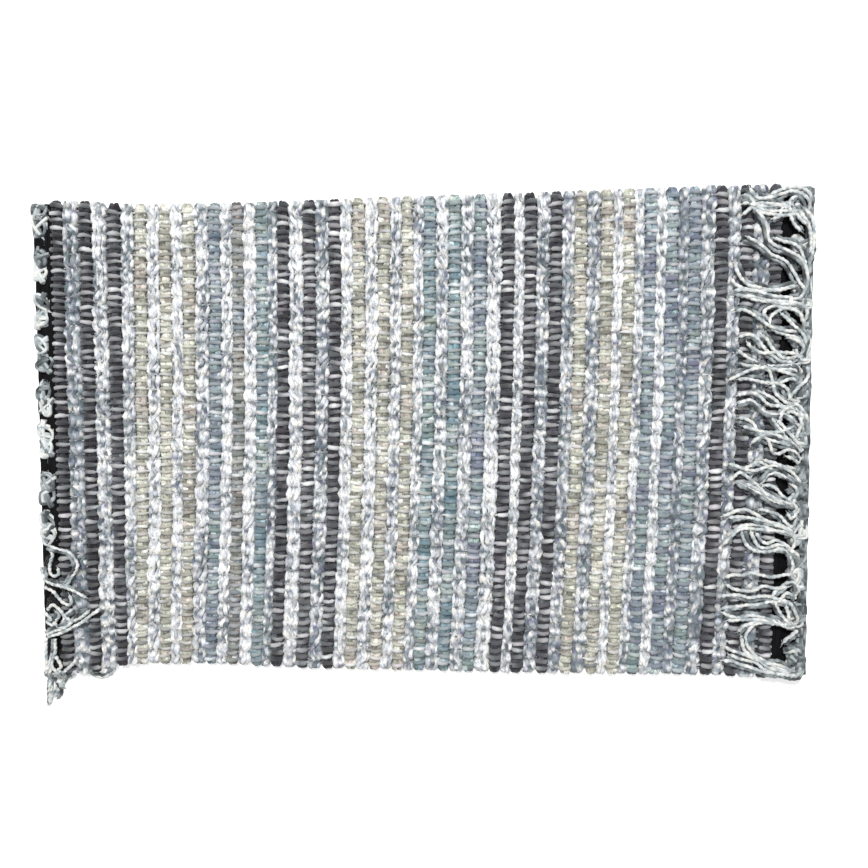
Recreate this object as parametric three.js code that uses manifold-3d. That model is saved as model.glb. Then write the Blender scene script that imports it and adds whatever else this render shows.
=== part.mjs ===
// Hand-woven rag rug lying on a floor: a ribbed woven field and a knotted warp fringe at each end.
// Millimetres, +Z up, +X along the rug, origin under the middle of the whole rug.

import * as THREE from 'three';
import { mergeVertices } from 'three/addons/utils/BufferGeometryUtils.js';
import Module from 'manifold-3d';

// Driving dimensions of the woven field
const RIB_WIDTH = 14;
const RIB_HEIGHT = 10;
const RIB_SHOULDER = 0.28;
const PALE_HEIGHT = 8.6;
const PALE_SHOULDER = 0.28;
const VALLEY_HEIGHT = 5.8;
const HEADING_LENGTH = 6;
const HEADING_HEIGHT = 4;
const SELVEDGE_ROUNDING = 6;
const SELVEDGE_HEIGHT = 0.55;
const RIB_PROUD = 1.5;
const HALF_WIDTH = 245;
const CREST_WANDER = 0.5;

// Driving dimensions of the fringes
const PIECE_GAP = 0.3;
const KNOT_COUNT = 22;
const KNOT_EDGE_INSET = 8;
const LEFT_KNOT_X = -391.5;
const RIGHT_KNOT_X = 388;
const LEFT_KNOT = new THREE.Vector3(8.2, 8, 4.7);
const RIGHT_KNOT = new THREE.Vector3(7.5, 7, 4.4);
const STRIP_THICKNESS = 2.4;
const STRAND_WIDTH = 2.8;
const STRAND_THICKNESS = 2.4;
const FRINGE_LENGTH = 72;
const ROOT_LANE = 3.4;
const END_LANE = 5;
const TUCK_LANE = 6.2;
const SLANT_MIDDLE = 8;
const SLANT_EDGE = -4;
const STRAND_WAVE = 2;
const WAVE_TURNS = 0.9;
const WAVE_LENGTH_ACROSS = 200;
const FLOOR_LEVEL = STRAND_THICKNESS / 2;
const STRAND_CLEARANCE = 0.6;
const RIGHT_STRANDS = 4;
const LEFT_STRANDS = 3;
const TUCK_LIFT = STRAND_THICKNESS + 0.7;
const TUCK_INNER_X = -312;
const TUCK_RAMP = 34;
const FOLDED_LEFT_KNOTS = 6;

// Selvedges: how far the cloth reaches to each side along its length
const SELVEDGES = [
  { x: -383, far: 245, near: -257 },
  { x: -340, far: 243, near: -252 },
  { x: -305, far: 240, near: -243 },
  { x: -200, far: 239, near: -241 },
  { x: -110, far: 240, near: -244 },
  { x: 0, far: 242, near: -244 },
  { x: 110, far: 243, near: -245 },
  { x: 230, far: 245, near: -244 },
  { x: 300, far: 246, near: -243 },
  { x: 376, far: 246, near: -246 },
];

// Middle of each rib along the rug; the weave is beaten up unevenly
const RIB_X = [
  -370, -339.5, -310, -285, -259, -235, -207, -183, -157.5, -136,
  -108.5, -82, -57.5, -31.5, -7.5, 15, 40.5, 66.5, 94.5, 116.5,
  142, 166.5, 192.5, 214, 235, 257, 279.5, 306, 330.5, 359.5,
];

// How far the ribs lean and bow out of square along the rug; its ends are straight
const SKEWS = [
  { x: -383, lean: 0, bow: 0 },
  { x: -310, lean: 0.5, bow: 0 },
  { x: -285, lean: 4.3, bow: 0.4 },
  { x: -200, lean: 6.5, bow: 1.3 },
  { x: 230, lean: 7.5, bow: 1.3 },
  { x: 306, lean: 5.5, bow: 1.3 },
  { x: 352, lean: 4, bow: 1 },
  { x: 373, lean: 0, bow: 0 },
];

// Rows of points across the cloth: the place between the selvedges, and the share of the full height
const ROWS = [
  { place: 0, inset: 0, height: SELVEDGE_HEIGHT },
  { place: 0, inset: SELVEDGE_ROUNDING, height: 1 },
  { place: 0.2, inset: 0, height: 1 },
  { place: 0.4, inset: 0, height: 1 },
  { place: 0.6, inset: 0, height: 1 },
  { place: 0.8, inset: 0, height: 1 },
  { place: 1, inset: -SELVEDGE_ROUNDING, height: 1 },
  { place: 1, inset: 0, height: SELVEDGE_HEIGHT },
];

// Strands that hang off the near left corner onto the floor: side step, end along the selvedge
const CORNER_STRANDS = [
  { side: -3.6, endX: -394, endY: -290 },
  { side: 0.4, endX: -388, endY: -276 },
  { side: 4.4, endX: -381, endY: -268 },
];

const FIELD_LEFT = RIB_X[0] - RIB_WIDTH / 2 - HEADING_LENGTH;
const FIELD_RIGHT = RIB_X[RIB_X.length - 1] + RIB_WIDTH / 2 + HEADING_LENGTH;

const wasm = await Module();
wasm.setup();

// Repeatable unevenness between 0 and 1
function uneven(seed) {
  const wave = Math.sin(seed * 12.9898 + 4.1) * 43758.5453;
  return wave - Math.floor(wave);
}

// Straight-line reading of a table at a place along the rug
function readTable(rows, x, column) {
  const after = rows.findIndex((row) => row.x >= x);
  if (after === 0) return rows[0][column];
  const [a, b] = [rows[after - 1], rows[after]];
  return THREE.MathUtils.mapLinear(x, a.x, b.x, a[column], b[column]);
}

// The left end lies over its tucked strands, so the cloth rises there
function liftAt(x) {
  return TUCK_LIFT * (1 - THREE.MathUtils.smoothstep(x, TUCK_INNER_X, TUCK_INNER_X + TUCK_RAMP));
}

// Step along the rug of a rib that leans and bows, at a place across the cloth
function skewAt(x, y) {
  const across = y / HALF_WIDTH;
  return readTable(SKEWS, x, 'lean') * across + readTable(SKEWS, x, 'bow') * (1 - 3 * across * across);
}

// Section along the rug: heading, then a rib and a pale weft in turn, then heading
function fieldColumns() {
  const columns = [{ x: FIELD_LEFT, z: HEADING_HEIGHT, proud: 0 }];
  for (let rib = 0; rib < RIB_X.length; rib++) {
    const x = RIB_X[rib];
    const crest = RIB_HEIGHT - CREST_WANDER * uneven(rib);
    columns.push({ x: x - RIB_WIDTH / 2, z: rib === 0 ? HEADING_HEIGHT : VALLEY_HEIGHT, proud: 0 });
    columns.push({ x: x - RIB_WIDTH * RIB_SHOULDER, z: crest, proud: RIB_PROUD });
    columns.push({ x: x + RIB_WIDTH * RIB_SHOULDER, z: crest, proud: RIB_PROUD });
    columns.push({ x: x + RIB_WIDTH / 2, z: VALLEY_HEIGHT, proud: 0 });
    if (rib + 1 < RIB_X.length) {
      const pale = (x + RIB_X[rib + 1]) / 2;
      const half = (RIB_X[rib + 1] - x - RIB_WIDTH) * PALE_SHOULDER;
      const top = PALE_HEIGHT - CREST_WANDER * uneven(rib + 50);
      columns.push({ x: pale - half, z: top, proud: RIB_PROUD / 3 });
      columns.push({ x: pale + half, z: top, proud: RIB_PROUD / 3 });
    }
  }
  columns[columns.length - 1].z = HEADING_HEIGHT;
  columns.push({ x: FIELD_RIGHT, z: HEADING_HEIGHT, proud: 0 });
  return columns;
}

// Closed slab: a grid of top points, and one row of floor points under each selvedge
function wovenField() {
  const columns = fieldColumns();
  const rows = ROWS.length;
  const positions = [];
  const index = [];
  const quad = (a, b, c, d) => index.push(a, b, c, a, c, d);
  for (const column of columns) {
    const near = readTable(SELVEDGES, column.x, 'near') - column.proud;
    const far = readTable(SELVEDGES, column.x, 'far') + column.proud;
    const lift = liftAt(column.x);
    for (const row of ROWS) {
      const y = THREE.MathUtils.lerp(near, far, row.place) + row.inset;
      positions.push(column.x + skewAt(column.x, y), y, lift + column.z * row.height);
    }
    positions.push(column.x + skewAt(column.x, near), near, lift);
    positions.push(column.x + skewAt(column.x, far), far, lift);
  }
  const stride = rows + 2;
  for (let c = 0; c + 1 < columns.length; c++) {
    const here = c * stride;
    const next = here + stride;
    for (let r = 0; r + 1 < rows; r++) {
      quad(here + r, next + r, next + r + 1, here + r + 1);
    }
    quad(here + rows, next + rows, next, here);
    quad(here + rows - 1, next + rows - 1, next + rows + 1, here + rows + 1);
    quad(here + rows + 1, next + rows + 1, next + rows, here + rows);
  }
  const last = (columns.length - 1) * stride;
  for (let r = 0; r + 1 < rows; r++) {
    index.push(rows, r, r + 1);
    index.push(last + rows, last + r + 1, last + r);
  }
  index.push(rows, rows - 1, rows + 1);
  index.push(last + rows, last + rows + 1, last + rows - 1);
  const geometry = new THREE.BufferGeometry();
  geometry.setAttribute('position', new THREE.Float32BufferAttribute(positions, 3));
  geometry.setIndex(index);
  return geometry;
}

// Three-sided strand through points, its flat side held square to the side direction
function strand(points, side) {
  const positions = [];
  const index = [];
  points.forEach((point, i) => {
    const before = points[Math.max(i - 1, 0)];
    const after = points[Math.min(i + 1, points.length - 1)];
    const along = after.clone().sub(before).normalize();
    const across = side.clone().addScaledVector(along, -side.dot(along)).normalize();
    const up = across.clone().cross(along).normalize();
    const half = STRAND_WIDTH / 2;
    const low = point.clone().addScaledVector(up, -STRAND_THICKNESS / 2);
    const high = point.clone().addScaledVector(up, STRAND_THICKNESS / 2);
    positions.push(...low.clone().addScaledVector(across, half).toArray());
    positions.push(...high.toArray());
    positions.push(...low.clone().addScaledVector(across, -half).toArray());
  });
  for (let i = 0; i + 1 < points.length; i++) {
    for (let k = 0; k < 3; k++) {
      const a = i * 3 + k;
      const b = i * 3 + (k + 1) % 3;
      index.push(a, b + 3, b, a, a + 3, b + 3);
    }
  }
  const end = (points.length - 1) * 3;
  index.push(0, 1, 2, end, end + 2, end + 1);
  const geometry = new THREE.BufferGeometry();
  geometry.setAttribute('position', new THREE.Float32BufferAttribute(positions, 3));
  geometry.setIndex(index);
  return geometry;
}

// Lump of an overhand knot
function knot(x, y, radius, seed) {
  const geometry = new THREE.SphereGeometry(1, 7, 4);
  const size = 0.92 + 0.08 * uneven(seed);
  geometry.rotateZ(uneven(seed + 7) * Math.PI);
  geometry.scale(radius.x, radius.y * size, radius.z);
  geometry.translate(x, y, radius.z + PIECE_GAP);
  return geometry;
}

// Narrow strip of bare warps between the heading and the knots
function strip(fromX, toX, near, far, floor) {
  const geometry = new THREE.BoxGeometry(toX - fromX, far - near, STRIP_THICKNESS);
  geometry.translate((fromX + toX) / 2, (near + far) / 2, floor + STRIP_THICKNESS / 2);
  return geometry;
}

function toSolid(source) {
  const bare = source.clone();
  bare.deleteAttribute('normal');
  bare.deleteAttribute('uv');
  const merged = mergeVertices(bare, 1e-4);
  const vertProperties = new Float32Array(merged.attributes.position.array);
  const triVerts = new Uint32Array(merged.index.array);
  return new wasm.Manifold(new wasm.Mesh({ numProp: 3, vertProperties, triVerts }));
}

// All pieces of one fringe fused at their roots
function fuse(pieces) {
  const mesh = pieces.map(toSolid).reduce((whole, piece) => whole.add(piece)).getMesh();
  const geometry = new THREE.BufferGeometry();
  geometry.setAttribute('position', new THREE.Float32BufferAttribute(mesh.vertProperties, 3));
  geometry.setIndex([...mesh.triVerts]);
  return geometry;
}

function knotPlace(k, endX) {
  const near = readTable(SELVEDGES, endX, 'near') + KNOT_EDGE_INSET;
  const far = readTable(SELVEDGES, endX, 'far') - KNOT_EDGE_INSET;
  return THREE.MathUtils.lerp(near, far, k / (KNOT_COUNT - 1));
}

// Sideways wave of a strand, in step with its neighbours
function waveAt(knotY, share) {
  const turns = WAVE_TURNS * share + knotY / WAVE_LENGTH_ACROSS;
  return STRAND_WAVE * Math.sin(2 * Math.PI * turns) * share;
}

// Sideways step of a folded strand on its way from the knot to its loose end
function drift(knotY, lane, share) {
  const spread = lane * THREE.MathUtils.lerp(ROOT_LANE, END_LANE, share);
  const middle = Math.cos(Math.PI / 2 * knotY / HALF_WIDTH);
  const slant = THREE.MathUtils.lerp(SLANT_EDGE, SLANT_MIDDLE, middle) * share;
  return spread + slant + waveAt(knotY, share);
}

// Strand that leaves the top of its knot and folds back over the cloth; inward is -1 or 1 along X
function foldedStrand(knotX, knotY, lane, inward, cloth, length) {
  const level = cloth + STRAND_CLEARANCE + STRAND_THICKNESS / 2;
  const route = [
    { in: 1, z: 5.6, share: 0 },
    { in: -5, z: 8.4, share: 0 },
    { in: -2.4, z: level + 1, share: 0.04 },
    { in: 9, z: level + 1.4, share: 0.16 },
    { in: 24, z: level, share: 0.4 },
    { in: length * 0.68, z: level, share: 0.68 },
    { in: length, z: level, share: 1 },
  ];
  const points = route.map((stop) => new THREE.Vector3(
    knotX + inward * stop.in,
    knotY + drift(knotY, lane, stop.share),
    stop.z,
  ));
  return strand(points, new THREE.Vector3(0, inward, 0));
}

// Strand that lies level on the floor under the cloth
function tuckedStrand(knotX, knotY, lane, length) {
  const shares = [0, 0.35, 0.7, 1];
  const points = shares.map((share) => new THREE.Vector3(
    knotX + length * share,
    knotY + lane * THREE.MathUtils.lerp(ROOT_LANE, TUCK_LANE, share) + waveAt(knotY, share),
    FLOOR_LEVEL,
  ));
  return strand(points, new THREE.Vector3(0, -1, 0));
}

// Strand that runs off the near left corner and lies on the floor beyond the selvedge
function cornerStrand(knotY, row) {
  const x = LEFT_KNOT_X + row.side;
  const landing = new THREE.Vector3(x, knotY - 15, FLOOR_LEVEL);
  const end = new THREE.Vector3(row.endX, row.endY, FLOOR_LEVEL);
  const points = [
    new THREE.Vector3(x, knotY, LEFT_KNOT.z),
    new THREE.Vector3(x, knotY - 9, 3.4),
    landing,
    landing.clone().lerp(end, 0.5),
    end,
  ];
  return strand(points, new THREE.Vector3(-1, 0, 0));
}

function laneOf(s, count) {
  return s - (count - 1) / 2;
}

function strandLength(seed) {
  return FRINGE_LENGTH * (0.86 + 0.14 * uneven(seed));
}

function fringeRight() {
  const inner = FIELD_RIGHT + PIECE_GAP;
  const pieces = [strip(inner, RIGHT_KNOT_X, knotPlace(0, inner), knotPlace(KNOT_COUNT - 1, inner), 0)];
  for (let k = 0; k < KNOT_COUNT; k++) {
    const y = knotPlace(k, inner);
    pieces.push(knot(RIGHT_KNOT_X, y, RIGHT_KNOT, k));
    for (let s = 0; s < RIGHT_STRANDS; s++) {
      const length = strandLength(k * RIGHT_STRANDS + s);
      pieces.push(foldedStrand(RIGHT_KNOT_X, y, laneOf(s, RIGHT_STRANDS), -1, RIB_HEIGHT, length));
    }
  }
  return fuse(pieces);
}

function fringeLeft() {
  const inner = FIELD_LEFT - PIECE_GAP;
  const near = knotPlace(0, inner);
  const pieces = [strip(LEFT_KNOT_X, inner, near, knotPlace(KNOT_COUNT - 1, inner), TUCK_LIFT)];
  for (let k = 0; k < KNOT_COUNT; k++) {
    const y = knotPlace(k, inner);
    pieces.push(knot(LEFT_KNOT_X, y, LEFT_KNOT, k + 100));
    for (let s = 0; s < LEFT_STRANDS && k > 0; s++) {
      const lane = laneOf(s, LEFT_STRANDS);
      const length = strandLength(k * LEFT_STRANDS + s + 300);
      const over = RIB_HEIGHT + TUCK_LIFT;
      pieces.push(k < FOLDED_LEFT_KNOTS
        ? foldedStrand(LEFT_KNOT_X, y, lane, 1, over, length)
        : tuckedStrand(LEFT_KNOT_X, y, lane, length));
    }
  }
  pieces.push(...CORNER_STRANDS.map((row) => cornerStrand(near, row)));
  return fuse(pieces);
}

function named(name, geometry, color, roughness) {
  const material = new THREE.MeshStandardMaterial({ color, roughness, metalness: 0 });
  const mesh = new THREE.Mesh(geometry, material);
  mesh.name = name;
  return mesh;
}

const rug = new THREE.Group();
rug.add(named('woven_field', wovenField(), '#a7abac', 0.95));
rug.add(named('fringe_right', fringeRight(), '#d5dad4', 0.9));
rug.add(named('fringe_left', fringeLeft(), '#d5dad4', 0.9));

// Move the origin under the middle of the rug
const middle = new THREE.Box3().setFromObject(rug).getCenter(new THREE.Vector3());
rug.position.set(-middle.x, -middle.y, 0);

export default rug;
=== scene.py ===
"""Looks of a hand-woven rag rug: wefts, warps, knots and fringe as real strands around the solids.

Lengths are millimetres in the rug's own frame, until mesh_object() and body_sheet() turn them into
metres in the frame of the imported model.
"""

import math

import bpy
import numpy as np
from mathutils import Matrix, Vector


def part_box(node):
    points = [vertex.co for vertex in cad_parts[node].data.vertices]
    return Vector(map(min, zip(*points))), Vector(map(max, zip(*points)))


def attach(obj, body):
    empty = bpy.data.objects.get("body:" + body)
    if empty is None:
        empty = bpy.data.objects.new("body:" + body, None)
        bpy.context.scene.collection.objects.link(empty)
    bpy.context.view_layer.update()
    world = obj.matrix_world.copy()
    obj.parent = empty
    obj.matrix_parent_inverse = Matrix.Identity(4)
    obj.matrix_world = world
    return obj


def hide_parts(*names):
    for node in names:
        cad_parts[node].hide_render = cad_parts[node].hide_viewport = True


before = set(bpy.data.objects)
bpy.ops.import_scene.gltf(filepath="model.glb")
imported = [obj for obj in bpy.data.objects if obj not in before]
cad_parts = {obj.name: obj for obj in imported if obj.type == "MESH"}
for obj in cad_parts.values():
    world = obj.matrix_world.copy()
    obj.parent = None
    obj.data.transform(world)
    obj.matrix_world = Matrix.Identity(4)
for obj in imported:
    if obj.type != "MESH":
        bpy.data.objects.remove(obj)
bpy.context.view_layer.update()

MM = 0.001
FLOOR_GAP = 0.1
TAU = 2 * math.pi
BAKE_MARGIN = 0.08

# Cloth: ribs and pale wefts take turns along X, and each runs along Y from selvedge to selvedge
RIB_X = np.array([
    -370, -339.5, -310, -285, -259, -235, -207, -183, -157.5, -136, -108.5, -82, -57.5, -31.5, -7.5,
    15, 40.5, 66.5, 94.5, 116.5, 142, 166.5, 192.5, 214, 235, 257, 279.5, 306, 330.5, 359.5,
])
RIB_WIDTH = 14.0
PALE_WIDTH = 10.75
FIRST_RIB_BREADTH = 0.75
HEADING_LENGTH = 6.0
FIELD_LEFT = RIB_X[0] - RIB_WIDTH / 2 - HEADING_LENGTH
FIELD_RIGHT = RIB_X[-1] + RIB_WIDTH / 2 + HEADING_LENGTH
HALF_WIDTH = 245.0
RIB_PROUD = 1.5
SKEW_X = (-383, -310, -285, -200, 230, 306, 352, 373)
SKEW_LEAN = (0, 0.5, 4.3, 6.5, 7.5, 5.5, 4, 0)
SKEW_BOW = (0, 0, 0.4, 1.3, 1.3, 1.3, 1, 0)
SELVEDGE_X = (-383, -340, -305, -200, -110, 0, 110, 230, 300, 376)
SELVEDGE_FAR = (245, 243, 240, 239, 240, 242, 243, 245, 246, 246)
SELVEDGE_NEAR = (-257, -252, -243, -241, -244, -244, -245, -244, -243, -246)
TUCK_LIFT = 3.1
TUCK_INNER_X = -312.0
TUCK_RAMP = 34.0

# Warps run along X in two sets that take turns across the cloth, three of each to a knot. One set
# shows on each rib, and every second warp of set B holds down each pale weft
KNOT_COUNT = 22
WARPS_A_KNOT = 3
WARP_COUNT = KNOT_COUNT * WARPS_A_KNOT
SET_PLACE = {"A": 0.0, "B": 0.5}
OUTER_LANE = 1.2
WARP_RADIUS = 1.5
WARP_FLATNESS = 0.85
WARP_INSET = 3.5

# Bars that warps make on a weft: share of a warp's thickness, share of the weft's colour that it takes
# up (on pale wefts, share of a grey that is painted shade in the grooves), and how far that share swings
# from one warp to the next
BAR_DEPTH = 0.93
TIE_BAR = (1.0, 0.75, 0.18)
RIB_BARS = {
    "K": (1.0, 0.72, 0.18),
    "D": (1.0, 0.66, 0.18),
    "C": (1.0, 0.58, 0.18),
    "S": (0.8, 0.84, 0.3),
    "B": (0.95, 0.74, 0.18),
    "T": (0.95, 0.74, 0.18),
    "O": (0.95, 0.74, 0.18),
}

# Knots: their lines along X, how far they keep from the selvedges, how far two of them draw together,
# and how far they may reach past the ends of the cloth, less far for the left knots painted near-black as
# shade
LEFT_KNOT_X = -391.5
RIGHT_KNOT_X = 388.0
KNOT_EDGE_INSET = 8.0
KNOT_INSET = 4.5
KNOT_PAIRING = 4.5
LEFT_KNOT_REACH = 11.5
SHADOW_KNOT_REACH = 8.5
RIGHT_KNOT_REACH = 21.5
FRINGE_RADIUS = 1.9

# Colours from left to right: ribs in charcoal (K, D, C), sand (S) and blue-greys (B, T, O), the set of
# warps that shows on each, and the pale wefts between them with ever more flecks (W, M, F, G)
RIB_CHART = "KKDSSSBOT" "DCDSSSTTB" "DDDSSSBBB" "DDD"
RIB_SETS = "AABBBBAAA" "BAAAAABBB" "BBAABBABA" "BAB"
PALE_CHART = "GMMWWMWWF" "WFWWMMMMW" "WFFFWMWGF" "FG"
RIB_SHADES = {
    "K": ("#232428", "#1a1b1e", "#33363b", "#2c2730", "#45484c"),
    "D": ("#2f3035", "#232428", "#42454b", "#38323c", "#56595d"),
    "C": ("#3c3d41", "#2c2d31", "#54575b", "#47424a", "#6c6f71"),
    "S": ("#cdcec0", "#a5a598", "#76746a", "#b3a7a0", "#e2e2d5", "#9b9e92"),
    "B": ("#84919a", "#5f707e", "#b0b9bd", "#727489", "#889a95"),
    "T": ("#82989d", "#5c7983", "#b3bebe", "#768490", "#929b92"),
    "O": ("#8c8f88", "#686d68", "#adaea9", "#76838c", "#867c77"),
}
WHITE_SHADES = ("#fcfdfd", "#e4e7ea", "#f4f0e8", "#d0d4de")
FLECK_SHADES = ("#626f7a", "#8f9da6", "#343f49", "#767290", "#526569", "#6c7b76")
PALE_FLECKS = {"W": -0.15, "M": 0.2, "F": 0.5, "G": 0.75}
WARP_SHADES = ("#f7f8f8", "#dfe2e2", "#a7aaae", "#696d72", "#d3cfd3")
# Grey for the warps where they sink into a pale weft: painted shade in the grooves
PAINTED_GROOVE_GREYS = ("#8d9298", "#75797f")
# Near-black of the heading, partly painted shade; the darkened knots and the ends of the sheet inside the
# wefts take it too
HEADING_SHADES = ("#0b0b0d", "#08080a", "#121215")
FRINGE_SHADES = ("#e6e7e6", "#c6cdce", "#97a1a5", "#dadad3")
GREY_FRINGE_SHADES = ("#838b8e", "#4a5154", "#aeb6b8", "#2a2d30")

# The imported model's frame is moved from the rug's own frame
field_low, field_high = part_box("woven_field")
SHIFT = np.array([
    field_low.x / MM - FIELD_LEFT,
    field_high.y / MM - max(SELVEDGE_FAR) - RIB_PROUD,
    0.0,
])


def linear(shades):
    """Hex colours as linear light."""
    rgb = np.array([[int(s[i:i + 2], 16) / 255 for i in (1, 3, 5)] for s in shades])
    return np.where(rgb <= 0.04045, rgb / 12.92, ((rgb + 0.055) / 1.055) ** 2.4)


def smoothstep(x, low, high):
    t = np.clip((x - low) / (high - low), 0, 1)
    return t * t * (3 - 2 * t)


def unit(v):
    return v / np.maximum(np.linalg.norm(v, axis=-1, keepdims=True), 1e-9)


class Waves:
    """Smooth random unevenness, one row for each strand, that can be read at any place along it."""

    SHARES = (1.0, 0.53, 0.31)

    def __init__(self, rng, rows, wavelength):
        self.terms = [
            (share, wavelength * share * rng.uniform(0.8, 1.25, rows), rng.uniform(0, TAU, rows))
            for share in self.SHARES
        ]

    def at(self, s, rows=slice(None)):
        total = sum(
            share * np.sin(TAU * s / length[rows][:, None] + phase[rows][:, None])
            for share, length, phase in self.terms
        )
        return total / sum(self.SHARES)


def far_edge(x):
    return np.interp(x, SELVEDGE_X, SELVEDGE_FAR)


def near_edge(x):
    return np.interp(x, SELVEDGE_X, SELVEDGE_NEAR)


def lift(x):
    """The left end lies over its tucked strands."""
    return TUCK_LIFT * (1 - smoothstep(x, TUCK_INNER_X, TUCK_INNER_X + TUCK_RAMP))


def skew(x, y):
    """Step along the rug of a weft that leans and bows, at a place across the cloth."""
    t = y / HALF_WIDTH
    return np.interp(x, SKEW_X, SKEW_LEAN) * t + np.interp(x, SKEW_X, SKEW_BOW) * (1 - 3 * t * t)


def across(x, warp):
    """Place across the cloth of a warp, counted from the near selvedge."""
    share = (warp + 0.5) / WARP_COUNT
    return near_edge(x) + OUTER_LANE + (far_edge(x) - near_edge(x) - 2 * OUTER_LANE) * share


def mixed_tint(rng, shades, rows, s, wavelength, sharpness=2.5):
    """Colours that drift between shades along each strand."""
    palette = linear(shades)
    weights = np.stack(
        [np.exp(sharpness * Waves(rng, rows, wavelength).at(s)) for _ in palette], -1,
    )
    weights /= weights.sum(-1, keepdims=True)
    return weights @ palette


def sweep(points, wide, high, side, sides, roll=0.0):
    """Rings of elliptical tubes along rows of points, as (rows, steps, sides, 3)."""
    rows, steps, _ = points.shape
    along = unit(np.gradient(points, axis=1))
    current = np.broadcast_to(np.asarray(side, float), (rows, 3))
    sideways = np.empty_like(points)
    for j in range(steps):
        current = unit(current - (current * along[:, j]).sum(-1, keepdims=True) * along[:, j])
        sideways[:, j] = current
    up = np.cross(along, sideways)
    roll = np.broadcast_to(roll, (rows, steps))[..., None]
    first = np.cos(roll) * sideways + np.sin(roll) * up
    second = np.cos(roll) * up - np.sin(roll) * sideways
    angle = TAU * np.arange(sides) / sides
    wide = np.broadcast_to(wide, (rows, steps))[..., None, None]
    high = np.broadcast_to(high, (rows, steps))[..., None, None]
    return (
        points[:, :, None]
        + wide * np.cos(angle)[:, None] * first[:, :, None]
        + high * np.sin(angle)[:, None] * second[:, :, None]
    )


def tube_faces(rows, steps, sides, start):
    """Wall quads and end caps of tubes, and their places on a map of one band for each tube."""
    i, j, k = np.meshgrid(np.arange(rows), np.arange(steps - 1), np.arange(sides), indexing="ij")

    def corner(dj, dk):
        return start + (i * steps + j + dj) * sides + (k + dk) % sides

    quads = np.stack([corner(0, 0), corner(0, 1), corner(1, 1), corner(1, 0)], -1).reshape(-1, 4)
    u = np.stack([j, j, j + 1, j + 1], -1) / (steps - 1)
    v = np.stack([k, k + 1, k + 1, k], -1) / sides
    row = np.repeat(i[..., None], 4, -1)
    first = start + np.arange(rows)[:, None] * steps * sides
    ring = np.arange(sides)
    caps = np.concatenate([first + ring[::-1], first + (steps - 1) * sides + ring])
    cap_u = np.repeat([0.0, 1.0], rows * sides)
    cap_row = np.tile(np.repeat(np.arange(rows), sides), 2)
    cap_v = np.concatenate([np.tile(ring[::-1], rows), np.tile(ring, rows)]) / sides
    u = np.concatenate([u.ravel(), cap_u])
    v = np.concatenate([v.ravel(), cap_v])
    row = np.concatenate([row.ravel(), cap_row])
    return quads, caps, u, v, row


def tint_mesh(mesh, colours):
    """Gives each vertex the colour that the materials read."""
    rgba = np.concatenate([colours, np.ones((len(colours), 1))], axis=1)
    layer = mesh.attributes.new("tint", "FLOAT_COLOR", "POINT")
    layer.data.foreach_set("color", rgba.astype(np.float32).ravel())


def add_piece(name, mesh, material):
    """Puts a mesh into the scene as a piece of the rug."""
    piece = bpy.data.objects.new(name, mesh)
    bpy.context.scene.collection.objects.link(piece)
    piece.data.materials.append(material)
    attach(piece, "root")
    return piece


def mesh_object(name, groups, material):
    """One joined mesh of tubes; each group is its rings and a colour for each ring."""
    places, loops, counts, colours, maps = [], [], [], [], []
    total_rows = sum(rings.shape[0] for rings, _ in groups)
    start = done = 0
    for rings, tint in groups:
        rows, steps, sides, _ = rings.shape
        quads, caps, u, v, row = tube_faces(rows, steps, sides, start)
        places.append(rings.reshape(-1, 3))
        loops += [quads.ravel(), caps.ravel()]
        counts += [np.full(len(quads), 4), np.full(len(caps), sides)]
        colours.append(np.repeat(tint.reshape(-1, 3), sides, axis=0))
        band = (done + row + BAKE_MARGIN / 2 + v * (1 - BAKE_MARGIN)) / total_rows
        maps.append(np.stack([u, band], -1))
        start += rows * steps * sides
        done += rows
    places = np.concatenate(places) + SHIFT
    places[:, 2] = np.maximum(places[:, 2], FLOOR_GAP)
    places *= MM
    loops = np.concatenate(loops)
    counts = np.concatenate(counts)
    mesh = bpy.data.meshes.new(name)
    mesh.vertices.add(len(places))
    mesh.vertices.foreach_set("co", places.astype(np.float32).ravel())
    mesh.loops.add(len(loops))
    mesh.loops.foreach_set("vertex_index", loops.astype(np.int32))
    mesh.polygons.add(len(counts))
    mesh.polygons.foreach_set("loop_start", (np.cumsum(counts) - counts).astype(np.int32))
    mesh.polygons.foreach_set("use_smooth", np.ones(len(counts), bool))
    mesh.update(calc_edges=True)
    layer = mesh.uv_layers.new(name="OFBake")
    layer.uv.foreach_set("vector", np.concatenate(maps).astype(np.float32).ravel())
    tint_mesh(mesh, np.concatenate(colours))
    return add_piece(name, mesh, material)


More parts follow.
